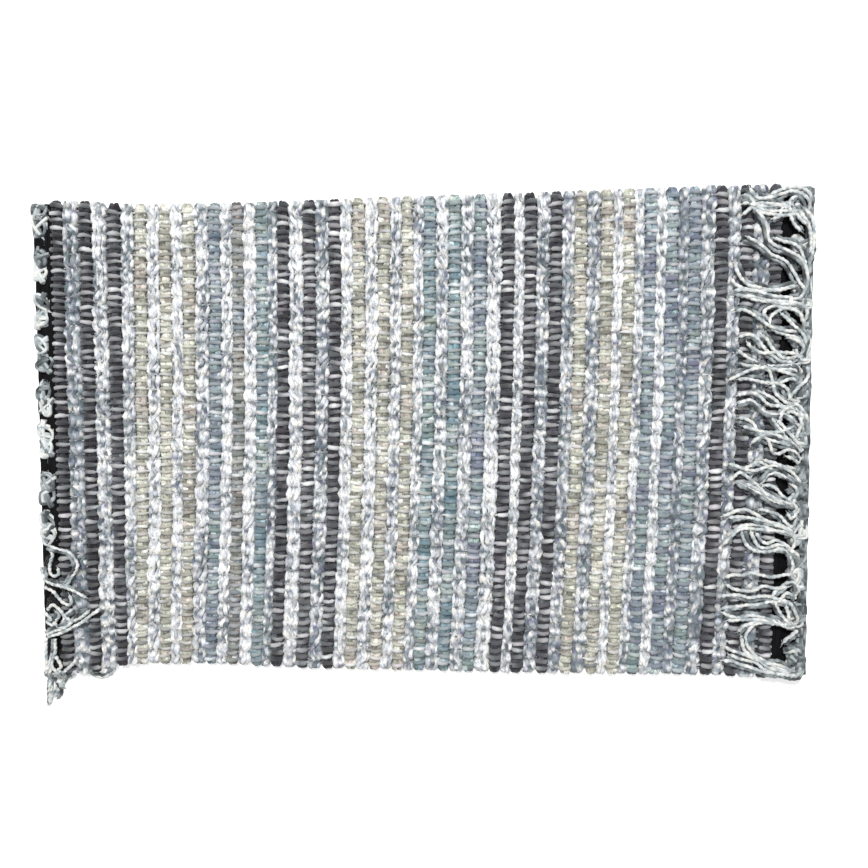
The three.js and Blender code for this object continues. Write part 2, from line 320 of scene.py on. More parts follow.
def yarn_material(name, stretch, grain, strength, fuzz, spread):
    """Matt cotton: the strand's own colour, fibre streaks along it and a fine nap."""
    material = bpy.data.materials.new(name)
    material.use_nodes = True
    nodes, links = material.node_tree.nodes, material.node_tree.links
    nodes.clear()
    out = nodes.new("ShaderNodeOutputMaterial")
    shader = nodes.new("ShaderNodeBsdfPrincipled")
    shader.inputs["Roughness"].default_value = 0.92
    shader.inputs["Specular IOR Level"].default_value = 0.2
    shader.inputs["Sheen Weight"].default_value = fuzz
    shader.inputs["Sheen Roughness"].default_value = 0.6
    tint = nodes.new("ShaderNodeAttribute")
    tint.attribute_name = "tint"
    place = nodes.new("ShaderNodeTexCoord")
    mapping = nodes.new("ShaderNodeMapping")
    mapping.inputs["Scale"].default_value = stretch
    streaks = nodes.new("ShaderNodeTexNoise")
    streaks.inputs["Scale"].default_value = grain
    streaks.inputs["Detail"].default_value = 3.0
    streaks.inputs["Roughness"].default_value = 0.65
    ramp = nodes.new("ShaderNodeMapRange")
    ramp.inputs["From Min"].default_value = 0.3
    ramp.inputs["From Max"].default_value = 0.7
    ramp.inputs["To Min"].default_value = 1.0 - spread
    ramp.inputs["To Max"].default_value = 1.0 + spread
    tinted = nodes.new("ShaderNodeVectorMath")
    tinted.operation = "SCALE"
    bump = nodes.new("ShaderNodeBump")
    bump.inputs["Strength"].default_value = strength
    bump.inputs["Distance"].default_value = 0.0006
    links.new(place.outputs["Object"], mapping.inputs["Vector"])
    links.new(mapping.outputs["Vector"], streaks.inputs["Vector"])
    links.new(streaks.outputs["Fac"], ramp.inputs["Value"])
    links.new(tint.outputs["Color"], tinted.inputs[0])
    links.new(ramp.outputs["Result"], tinted.inputs["Scale"])
    links.new(streaks.outputs["Fac"], bump.inputs["Height"])
    links.new(tinted.outputs["Vector"], shader.inputs["Base Color"])
    links.new(bump.outputs["Normal"], shader.inputs["Normal"])
    links.new(shader.outputs["BSDF"], out.inputs["Surface"])
    return material


# Sway of the wefts along the rug and the lengths over which they sway and change colour
SLOW_SWAY = 0.8
SLOW_LENGTH = 120.0
QUICK_SWAY = 1.0
QUICK_LENGTH = 17.0
DYE_LENGTH = 130.0
DRIFT_SHARPNESS = 5.0
DRIFT_STRENGTH = 0.55
DYE_COUNT = max(map(len, RIB_SHADES.values()))

# Where each weft lies: even ones are ribs, odd ones pale
WEFT_COUNT = 2 * len(RIB_X) - 1
weft_home = np.empty(WEFT_COUNT)
weft_home[::2] = RIB_X
weft_home[1::2] = (RIB_X[:-1] + RIB_X[1:]) / 2
weft_broad = np.ones(WEFT_COUNT)
weft_broad[1::2] = (np.diff(RIB_X) - RIB_WIDTH) / PALE_WIDTH
weft_broad[0] = FIRST_RIB_BREADTH
tie_every = np.where(np.arange(WEFT_COUNT) % 2, 2, 1)
tie_place = np.empty(WEFT_COUNT)
tie_place[::2] = [SET_PLACE[letter] for letter in RIB_SETS]
tie_place[1::2] = SET_PLACE["B"] + np.arange(len(RIB_X) - 1) % 2
weft_rng = np.random.default_rng(11)
weft_slow = Waves(weft_rng, WEFT_COUNT, SLOW_LENGTH)
weft_quick = Waves(weft_rng, WEFT_COUNT, QUICK_LENGTH)
weft_dyes = [Waves(weft_rng, WEFT_COUNT, DYE_LENGTH) for _ in range(DYE_COUNT)]


def weft_line(weft, y):
    """Middle of wefts along X at places across the cloth."""
    home = weft_home[weft][:, None]
    sway = SLOW_SWAY * weft_slow.at(y, weft)
    return home + skew(home, y) + sway + QUICK_SWAY * weft_quick.at(y, weft)


def weft_drift(wefts, y, shades):
    """Slow change of colour along wefts, as a share of their mean colour."""
    palette = linear(shades)
    dyes = weft_dyes[:len(palette)]
    weights = np.stack([np.exp(DRIFT_SHARPNESS * dye.at(y, wefts)) for dye in dyes], -1)
    mixed = weights @ palette / weights.sum(-1, keepdims=True)
    return (mixed / palette.mean(axis=0)) ** DRIFT_STRENGTH


# Steps along a weft, counted in warps: every warp of either set crosses at a ring, and the ends are
# rounded off
END_STEPS = np.array([0.38, 0.47, 0.5])
END_LENGTH = 0.3
END_STUB = 0.02
END_DROP = 1.4
BREADTH_POWER = 0.7
BULGE_LENGTH = 26
weft_count = np.concatenate([
    -END_STEPS[::-1],
    np.arange(2 * WARP_COUNT - 1) / 2,
    WARP_COUNT - 1 + END_STEPS,
])


def crossing(count, every, place):
    """Distance, in warps, from the nearest one that passes on top."""
    return np.abs((count - place + every / 2) % every - every / 2)


def weft_pinch(wefts, size):
    """How far wefts are pulled in, from 0 to 1 under a warp."""
    tied = crossing(weft_count[None, :], tie_every[wefts][:, None], tie_place[wefts][:, None])
    return np.exp(-(tied / size["groove"]) ** 2)


def weft_strands(rng, wefts, size, orbit, wander, thick):
    """Rings of one strand of each weft, winding round the weft's middle and bulging between the warps."""
    rows = len(wefts)
    count = weft_count[None, :]
    home = weft_home[wefts][:, None]
    near, far = near_edge(home) - size["proud"], far_edge(home) + size["proud"]
    y = near + (far - near) * (count + 0.5) / WARP_COUNT
    pinch = weft_pinch(wefts, size)
    from_end = np.minimum(count - count.min(), count.max() - count) / END_LENGTH
    end = np.sqrt(1 - (1 - np.clip(from_end, END_STUB, 1)) ** 2)
    tall = (1 - size["squeeze"] * pinch) * end
    broad = (1 - size["narrow"] * pinch) * end * weft_broad[wefts][:, None] ** BREADTH_POWER
    wound = orbit["angle"][:, None] + TAU * y / orbit["turn"][:, None]
    angle = wound + size["wander"] * wander.at(y)
    uneven = 1 + size["uneven"] * Waves(rng, rows, BULGE_LENGTH).at(y)
    x = weft_line(wefts, y) + orbit["wide"] * broad * np.cos(angle)
    middle = lift(home) + size["middle"] - size["wave"] * pinch - END_DROP * (1 - end)
    z = middle + orbit["high"] * tall * np.sin(angle)
    points = np.stack([x, y, z], -1)
    wide, high = thick
    rings = sweep(points, wide * broad * uneven, high * tall * uneven, (1, 0, 0), size["sides"])
    return rings, y


# Form of a weft: half width of a warp's groove in warps, loss of height and of breadth in it, drop of
# the middle there, reach past the selvedge, unevenness, wander of its winding, height of its middle, and
# sides of a strand
RIB_SIZE = dict(
    groove=0.3, squeeze=0.2, narrow=0.06, wave=0.35,
    proud=0.4, uneven=0.13, wander=0.8, middle=5.0, sides=7,
)
PALE_SIZE = dict(
    groove=0.45, squeeze=0.42, narrow=0.12, wave=0.55,
    proud=0.6, uneven=0.24, wander=1.1, middle=4.6, sides=5,
)

# Folds of a rib: half breadth and half height, distance from the rib's middle, length of a turn round it,
# and the lengths over which they wander, mix their shades and grow darker or lighter
RIB_THICK = {
    "K": (4.1, 3.3),
    "D": (4.1, 3.3),
    "C": (4.1, 3.3),
    "S": (4.2, 3.8),
    "B": (4.1, 3.5),
    "T": (4.1, 3.5),
    "O": (4.1, 3.5),
}
RIB_FOLDS = 3
RIB_ORBIT = dict(wide=2.9, high=1.4)
RIB_TURN = (90, 170)
RIB_WANDER_LENGTH = 60
RIB_MIX = dict(wavelength=13, sharpness=6.0)
RIB_SHADING = 0.75
RIB_SHADING_LENGTH = 17
RIB_LIGHT = (0.01, 0.8)


def wefts_of(chart, letter):
    return np.array([i for i, c in enumerate(chart) if c == letter])


def rib_piece(name, letters, seed, material):
    """Ribs of rag strips: three soft folds that turn slowly round each other."""
    rng = np.random.default_rng(seed)
    groups = []
    for letter in letters:
        wefts = 2 * wefts_of(RIB_CHART, letter)
        rows = len(wefts)
        start = rng.uniform(0, TAU, rows)
        turn = rng.uniform(*RIB_TURN, rows) * rng.choice([-1, 1], rows)
        wander = Waves(rng, rows, RIB_WANDER_LENGTH)
        for fold in range(RIB_FOLDS):
            orbit = dict(angle=start + TAU * fold / RIB_FOLDS, turn=turn, **RIB_ORBIT)
            rings, y = weft_strands(rng, wefts, RIB_SIZE, orbit, wander, RIB_THICK[letter])
            tint = mixed_tint(rng, RIB_SHADES[letter], rows, y, **RIB_MIX)
            tint *= weft_drift(wefts, y, RIB_SHADES[letter])
            uneven = 1 + RIB_SHADING * Waves(rng, rows, RIB_SHADING_LENGTH).at(y)
            groups.append((rings, np.clip(tint * uneven[..., None], *RIB_LIGHT)))
    return mesh_object(name, groups, material)


# Yarns of a pale weft: how far each winds from the middle, its half thickness and how flecked it is; then
# the length of a turn, the lengths over which yarns wander and mix their shades, and the reach of flecks
WHITE_YARN = (4.8, 2.2, (3.5, 2.7), -0.1)
FLECKED_YARN = (4.8, 2.2, (2.8, 2.2), 0.5)
CORE_YARN = (1.0, 0.6, (4.4, 2.5), 0.25)
PALE_YARNS = (WHITE_YARN, FLECKED_YARN, WHITE_YARN, FLECKED_YARN, WHITE_YARN, CORE_YARN)
WOUND_YARNS = 5
PALE_TURN = (160, 320)
PALE_WANDER_LENGTH = 44
WHITE_MIX = dict(wavelength=18, sharpness=4.0)
FLECK_MIX = dict(wavelength=11, sharpness=4.5)
FLECK_REACH = 1.2
FLECK_LENGTH = 11
SLOW_FLECK_REACH = 0.5
# Painted shade: how much darker the pale yarns are made in the grooves under the warps
PAINTED_GROOVE_SHADE = 0.34


def pale_piece(name, letters, seed, material):
    """Pale wefts: three bulky white yarns and two thinner flecked ones that wind round a flat core, with
    painted shade in the grooves under the warps.
    """
    rng = np.random.default_rng(seed)
    groups = []
    for letter in letters:
        wefts = 2 * wefts_of(PALE_CHART, letter) + 1
        rows = len(wefts)
        start = rng.uniform(0, TAU, rows)
        turn = rng.uniform(*PALE_TURN, rows) * rng.choice([-1, 1], rows)
        wander = Waves(rng, rows, PALE_WANDER_LENGTH)
        slow = Waves(rng, rows, DYE_LENGTH)
        for yarn, (wide, high, thick, flecks) in enumerate(PALE_YARNS):
            orbit = dict(angle=start + TAU * yarn / WOUND_YARNS, turn=turn, wide=wide, high=high)
            rings, y = weft_strands(rng, wefts, PALE_SIZE, orbit, wander, thick)
            white = mixed_tint(rng, WHITE_SHADES, rows, y, **WHITE_MIX)
            fleck = mixed_tint(rng, FLECK_SHADES, rows, y, **FLECK_MIX)
            share = PALE_FLECKS[letter] + flecks
            share = share + FLECK_REACH * Waves(rng, rows, FLECK_LENGTH).at(y)
            share = np.clip(share + SLOW_FLECK_REACH * slow.at(y), 0, 1)
            tint = white + (fleck - white) * share[..., None]
            # Painted shade in the grooves where a warp pulls the weft in
            painted_shade = 1 - PAINTED_GROOVE_SHADE * weft_pinch(wefts, PALE_SIZE)
            groups.append((rings, tint * painted_shade[..., None]))
    return mesh_object(name, groups, material)


# Half sizes of a weft where a warp wraps it, and the stops of the warp round it: place along and above
# the weft's middle as shares of these, and share of the warp's thickness
RIB_WRAP = (5.2, 4.8)
PALE_WRAP = (5.0, 1.3)
WRAP_MIDDLE = 4.9
OVER_RIB = (
    (-1.0, -0.1, 1.25), (-0.8, 0.74, 1.55), (0.0, 1.0, 1.6), (0.8, 0.74, 1.55), (1.0, -0.1, 1.25),
)
OVER_PALE = ((-0.77, 0.64, 0.6), (0.0, 1.0, 0.6), (0.77, 0.64, 0.6))
UNDER = ((-0.64, -0.77, 0.75), (0.64, -0.77, 0.75))

# Unevenness of warps: reach and length of their sway, thickness, colour taken up and shades
WARP_SWAY, WARP_SWAY_LENGTH = 1.2, 40
WARP_UNEVEN, WARP_UNEVEN_LENGTH = 0.22, 36
TAKEN_UNEVEN, TAKEN_LENGTH = 0.48, 48
TAKEN_RANGE = (0.05, 0.95)
WARP_MIX = dict(wavelength=60, sharpness=7.0)
BAR_MIX = 1.6
BARE_THICKNESS = 0.8


def warp_bar_colour(rng, weft, y):
    """Thickness of the warps over a weft, the colours that they pick up from a rib or the grey painted
    shade in a pale weft's grooves, and how much of them.
    """
    letter = RIB_CHART[weft // 2]
    rows = len(y)
    size, taken, swing = TIE_BAR if weft % 2 else RIB_BARS[letter]
    shades = PAINTED_GROOVE_GREYS if weft % 2 else RIB_SHADES[letter]
    palette = linear(shades)
    weights = np.exp(BAR_MIX * rng.normal(size=(rows, len(palette))))
    shade = BAR_DEPTH * (weights @ palette) / weights.sum(axis=1, keepdims=True)
    shade *= weft_drift(np.full(rows, weft), y[:, None], shades)[:, 0]
    turns = np.where((np.arange(rows) + weft // 2) % 2, 1, -1)
    return size, shade, taken + swing * turns


def warp_piece(name, warps, over, seed, material):
    """Warps over the wefts marked in over and under the others, with ends that run to knots."""
    rng = np.random.default_rng(seed)
    rows = len(warps)
    columns, thick, bar_colour, taken_share = [], [], [], []
    for weft in range(WEFT_COUNT):
        half_wide, half_high = PALE_WRAP if weft % 2 else RIB_WRAP
        y = across(weft_home[weft], warps)
        x = weft_line(np.full(rows, weft), y[:, None])[:, 0]
        stops = UNDER if not over[weft] else OVER_PALE if weft % 2 else OVER_RIB
        size, shade, taken = warp_bar_colour(rng, weft, y)
        for along, above, share in stops:
            z = WRAP_MIDDLE + half_high * above + lift(x)
            columns.append(np.stack([x + half_wide * along, y, z], -1))
            thick.append(WARP_RADIUS * size * share)
            bar_colour.append(shade)
            taken_share.append(taken)
    points = np.stack(columns, axis=1)
    x = points[..., 0]
    points[..., 1] += WARP_SWAY * Waves(rng, rows, WARP_SWAY_LENGTH).at(x)
    points[..., 1] = np.clip(points[..., 1], near_edge(x) + WARP_INSET, far_edge(x) - WARP_INSET)
    left = warp_end(warps, FIELD_LEFT, LEFT_KNOT_X)
    right = warp_end(warps, FIELD_RIGHT, RIGHT_KNOT_X)
    points = np.concatenate([left[:, ::-1], points, right], axis=1)
    bare = left.shape[1]
    thick = np.pad(thick, bare, constant_values=WARP_RADIUS * BARE_THICKNESS)
    thick = thick * (1 + WARP_UNEVEN * Waves(rng, rows, WARP_UNEVEN_LENGTH).at(points[..., 0]))
    tint = mixed_tint(rng, WARP_SHADES, rows, points[..., 0], **WARP_MIX)
    taken_share = np.stack(taken_share, axis=1) + TAKEN_UNEVEN * Waves(rng, rows, TAKEN_LENGTH).at(x)
    woven = tint[:, bare:-bare]
    # Over pale wefts the warps take on the grey painted shade of the grooves
    woven += np.clip(taken_share, *TAKEN_RANGE)[..., None] * (np.stack(bar_colour, axis=1) - woven)
    rings = sweep(points, thick, thick * WARP_FLATNESS, (0, 1, 0), 5)
    return mesh_object(name, [(rings, tint)], material)


def over_ribs(letter):
    """Marks the ribs on which a set of warps shows."""
    over = np.zeros(WEFT_COUNT, bool)
    over[::2] = [c == letter for c in RIB_SETS]
    return over


def over_pale(parity):
    """Marks every second pale weft."""
    over = np.zeros(WEFT_COUNT, bool)
    over[1 + 2 * parity::4] = True
    return over


set_a = np.arange(WARP_COUNT) + SET_PLACE["A"]
set_b = np.arange(WARP_COUNT - 1) + SET_PLACE["B"]


def knot_y(k, end_x):
    near = near_edge(end_x) + KNOT_EDGE_INSET
    far = far_edge(end_x) - KNOT_EDGE_INSET
    return near + (far - near) * np.asarray(k) / (KNOT_COUNT - 1)


# Stops of a bare warp past the edge: step outward, share of its way to the knot's middle, and height
BARE_STOPS = ((-6.0, 0.0, 2.0), (-1.0, 0.1, 1.4), (3.0, 0.5, 1.4))


def warp_end(warps, edge_x, knot_x):
    """Bare stretch of warps from the last weft over the heading to their knot."""
    y = across(edge_x, warps)
    target = knot_y(np.floor(warps / WARPS_A_KNOT), edge_x)
    outward = np.sign(knot_x - edge_x)
    at_knot = (abs(knot_x - edge_x) - 1.0, 0.9, 3.0)
    columns = []
    for out, share, high in BARE_STOPS + (at_knot,):
        x = np.full(len(y), edge_x + outward * out)
        z = np.full(len(y), high + lift(edge_x))
        columns.append(np.stack([x, y + (target - y) * share, z], -1))
    return np.stack(columns, axis=1)


# Heading: distance of its picks, how far it runs under the first weft and out past each end, distance from
# the selvedges, half sizes of a pick and its height on the cloth and on the bare warps
PICK_PITCH = 2.6
PICK_UNDER = 6.4
PICK_REACH_LEFT = 12.5
PICK_REACH_RIGHT = 26.0
PICK_INSET = 3
PICK_SIZE = (1.7, 1.4)
PICK_HEIGHTS = (3.8, 2.4)
# Outermost picks at the right end, grey as painted shade along that edge
EDGE_SHADE_PICKS = 3


def heading_piece(material):
    """Thin dark picks that lock the last weft at each end and bind the warps below their knots; their
    near-black is partly their own colour and partly painted shade between and under the knots.
    """
    rng = np.random.default_rng(31)
    steps = np.linspace(0, 1, 100)[None, :]
    groups = []
    for edge_x, reach, outward in ((FIELD_LEFT, PICK_REACH_LEFT, -1), (FIELD_RIGHT, PICK_REACH_RIGHT, 1)):
        home = edge_x + outward * np.arange(-PICK_UNDER, reach, PICK_PITCH)[:, None]
        rows = len(home)
        near, far = near_edge(home), far_edge(home)
        y = near + PICK_INSET + (far - near - 2 * PICK_INSET) * steps
        x = home + 0.8 * Waves(rng, rows, 60).at(y)
        high = np.where(home * outward < edge_x * outward + 1, *PICK_HEIGHTS)
        z = lift(edge_x) + high + 0.5 * Waves(rng, rows, 16).at(y)
        rings = sweep(np.stack([x, y, z], -1), *PICK_SIZE, (1, 0, 0), 6)
        tint = mixed_tint(rng, HEADING_SHADES, rows, y, 40)
        # Grey painted shade along the right edge beyond the knots
        if outward > 0:
            tint[-EDGE_SHADE_PICKS:] = mixed_tint(
                rng, GREY_FRINGE_SHADES, EDGE_SHADE_PICKS, y[-EDGE_SHADE_PICKS:], 12, 6.0,
            )
        groups.append((rings, tint))
    return mesh_object("heading_picks", groups, material)


# Knots: rings along one, height of its middle, how far knots stray along and across the rug, turn, size,
# strays of the line, and distance and half sizes of the three yarns round it
KNOT_STEPS = 34
KNOT_HEIGHT = 6.4
KNOT_STRAY = (0.8, 2.0)
KNOT_TURN = 1.3
KNOT_SIZE = np.array([1.1, 1.35, 1.0])
KNOT_SIZES = (0.85, 1.2)
KNOT_LOOSENESS = (1.2, 1.6, 0.5)
KNOT_YARNS = 3
KNOT_PLY_TURN = 3.0
KNOT_YARN_OFFSET = 1.6
KNOT_YARN_SIZE = (2.1, 1.8)
KNOT_MIX = dict(wavelength=0.4, sharpness=4.0)


def knot_curve(steps):
    """Open overhand knot seen from above: both ends leave on the +X side."""
    t = np.linspace(-2.02, 2.02, steps)
    x = 3.1 * (t ** 4 - 4 * t ** 2) + 6
    y = 3.3 * (t ** 3 - 3 * t)
    z = 0.9 * (t ** 5 / 5 - 2 * t)
    return np.stack([x, y, z], -1)


def knot_groups(rng, knot_x, inward, grey_and_shade_share, shadow_knot_count):
    """Knots of three yarns that lie side by side along one overhand curve."""
    k = np.arange(KNOT_COUNT)
    edge_x = FIELD_LEFT if knot_x < 0 else FIELD_RIGHT
    home = np.empty((KNOT_COUNT, 3))
    home[:, 0] = knot_x
    home[:, 1] = knot_y(k, edge_x)
    home[:, 2] = KNOT_HEIGHT
    home[:, :2] += rng.normal(0, 1, (KNOT_COUNT, 2)) * KNOT_STRAY
    home[:, 1] += np.where(k % 2, -KNOT_PAIRING, KNOT_PAIRING)
    angle = rng.uniform(-KNOT_TURN, KNOT_TURN, KNOT_COUNT)
    mirror = rng.choice([-1.0, 1.0], KNOT_COUNT)
    size = KNOT_SIZE * rng.uniform(*KNOT_SIZES, (KNOT_COUNT, 3))
    local = knot_curve(KNOT_STEPS)[None] * size[:, None]
    local[..., 1] *= mirror[:, None]
    cos, sin = np.cos(angle)[:, None], np.sin(angle)[:, None]
    x = inward * (local[..., 0] * cos - local[..., 1] * sin)
    y = local[..., 0] * sin + local[..., 1] * cos
    t = np.linspace(0, 1, KNOT_STEPS)[None, :]
    loose = np.stack([Waves(rng, KNOT_COUNT, 0.6).at(t) for _ in range(3)], -1) * KNOT_LOOSENESS
    line = home[:, None] + np.stack([x, y, local[..., 2]], -1) + loose
    left_reach = np.where(k < shadow_knot_count, SHADOW_KNOT_REACH, LEFT_KNOT_REACH)[:, None]
    line[..., 0] = np.clip(line[..., 0], FIELD_LEFT - left_reach, FIELD_RIGHT + RIGHT_KNOT_REACH)
    near, far = near_edge(edge_x) + KNOT_INSET, far_edge(edge_x) - KNOT_INSET
    line[..., 1] = np.clip(line[..., 1], near, far)
    along = unit(np.gradient(line, axis=1))
    flat = unit(np.cross(along, (0, 0, 1.0)))
    upward = np.cross(flat, along)
    groups = []
    for yarn in range(KNOT_YARNS):
        turn = TAU * yarn / KNOT_YARNS + KNOT_PLY_TURN * t[..., None]
        points = line + KNOT_YARN_OFFSET * (np.cos(turn) * flat + np.sin(turn) * upward)
        tint = mixed_tint(rng, FRINGE_SHADES, KNOT_COUNT, t, **KNOT_MIX)
        # Some knots take grey yarn: darker yarn, and partly painted shade on the knots
        grey = rng.random(KNOT_COUNT) < grey_and_shade_share
        tint[grey] = mixed_tint(rng, GREY_FRINGE_SHADES, KNOT_COUNT, t, **KNOT_MIX)[grey]
        # Knots by the near left corner painted near-black: painted shade where the folded end lies
        tint[:shadow_knot_count] = linear(HEADING_SHADES).mean(axis=0)
        groups.append((sweep(points, *KNOT_YARN_SIZE, (0, 0, 1), 6), tint))
    return groups, line


# Fringe strands: rings along one, distance of two that lie together, length of a twist, half sizes as
# shares of the radius, and the frayed fibres at the cut end with their length
STRAND_STEPS = 44
STRANDS_APART = (2.4, 3.6)
STRAND_TWIST = 10
STRAND_SIZE = (1.06, 0.8)
STRAND_MIX = dict(wavelength=26, sharpness=4.0)
END_FIBRES = 3
FIBRE_STEPS = 5
FIBRE_LENGTH = (1.5, 4)
FIBRE_FLOOR = 0.6


def strand_line(stops):
    """Smooth line through the stops of a strand."""
    run = np.concatenate([[0], np.cumsum(np.linalg.norm(np.diff(stops, axis=0), axis=1))])
    tangent = np.gradient(stops, run, axis=0)
    s = np.linspace(0, run[-1], STRAND_STEPS)
    i = np.clip(np.searchsorted(run, s, side="right") - 1, 0, len(run) - 2)
    span = (run[i + 1] - run[i])[:, None]
    t = (s - run[i])[:, None] / span
    rest = 1 - t
    return (
        rest * rest * ((1 + 2 * t) * stops[i] + t * span * tangent[i])
        + t * t * ((1 + 2 * rest) * stops[i + 1] - rest * span * tangent[i + 1])
    )


def strand_lines(rng, table, beside):
    """Lines of strands through their stops; most have a second strand that lies close beside."""
    lines = np.stack([strand_line(np.array(stops, float).reshape(-1, 2)) for stops in table])
    second = rng.random(len(lines)) < beside
    along = unit(np.gradient(lines[second], axis=1))
    rows = second.sum()
    t = np.linspace(0, 1, lines.shape[1])[None, :]
    apart = rng.choice([-1, 1], (rows, 1)) * rng.uniform(*STRANDS_APART, (rows, 1))
    apart = apart + 1.4 * Waves(rng, rows, 0.7).at(t)
    close = lines[second] + apart[..., None] * np.stack([-along[..., 1], along[..., 0]], -1)
    grey = np.arange(len(lines) + rows) >= len(lines)
    lines = np.concatenate([lines, close])
    step = np.linalg.norm(np.diff(lines, axis=1), axis=-1)
    s = np.concatenate([np.zeros((len(lines), 1)), np.cumsum(step, axis=1)], axis=1)
    lines += 0.5 * np.stack([Waves(rng, len(lines), 24).at(s) for _ in range(2)], -1)
    return lines, s, grey


def strand_groups(rng, points, s, grey):
    """Two-ply yarns along the lines with blunt cut ends and a few frayed fibres."""
    rows = len(points)
    left = s[:, -1:] - s
    blunt = np.sqrt(1 - (1 - np.clip(left / 1.8, 0.05, 1)) ** 2) * (1 + 0.15 * np.exp(-left / 5))
    uneven = FRINGE_RADIUS * blunt * (1 + 0.1 * Waves(rng, rows, 22).at(s))
    roll = TAU * s / STRAND_TWIST + rng.uniform(0, TAU, (rows, 1))
    rings = sweep(points, STRAND_SIZE[0] * uneven, STRAND_SIZE[1] * uneven, (0, 0, 1), 7, roll)
    tint = mixed_tint(rng, FRINGE_SHADES, rows, s, **STRAND_MIX)
    # Strands that lie beside take grey: darker yarn, and partly painted shade between the light strands
    tint[grey] = mixed_tint(rng, GREY_FRINGE_SHADES, rows, s, **STRAND_MIX)[grey]
    # Lighter and darker along each strand: the yarn's own tone, and partly painted shade of its twisted
    # plies
    tint *= 1 + 0.22 * Waves(rng, rows, 9).at(s)[..., None]
    groups = [(rings, tint)]
    tip, back = points[:, -1], points[:, -4]
    way = unit(tip - back)
    t = np.linspace(0, 1, FIBRE_STEPS)[None, :, None]
    taper = 1.1 - t[..., 0]
    inside = back[:, None] + (tip - back)[:, None] * np.minimum(t * 2, 1)
    for _ in range(END_FIBRES):
        bend = way + rng.normal(0, 0.4, (rows, 3)) * (1, 1, 0.3)
        reach = rng.uniform(*FIBRE_LENGTH, (rows, 1, 1))
        fibre = inside + bend[:, None] * reach * t ** 1.5
        fibre[..., 2] = np.maximum(fibre[..., 2], FIBRE_FLOOR)
        groups.append((sweep(fibre, 0.5 * taper, 0.4 * taper, (0, 0, 1), 4), tint[:, -FIBRE_STEPS:]))
    return groups


# Heights over the floor: the top of the cloth, the knots where strands leave them, and tucked strands
CLOTH_TOP = 10.3
STRAND_ROOT = 7
TUCKED_HEIGHT = 1.35
TUCKED_STEPS = (-5, 0, 5)
TUCKED_LENGTH = (56, 66)
STRAND_LAYERS = 2.4
ROOT_RISE = 12


def rug_top(x):
    return CLOTH_TOP + lift(x)


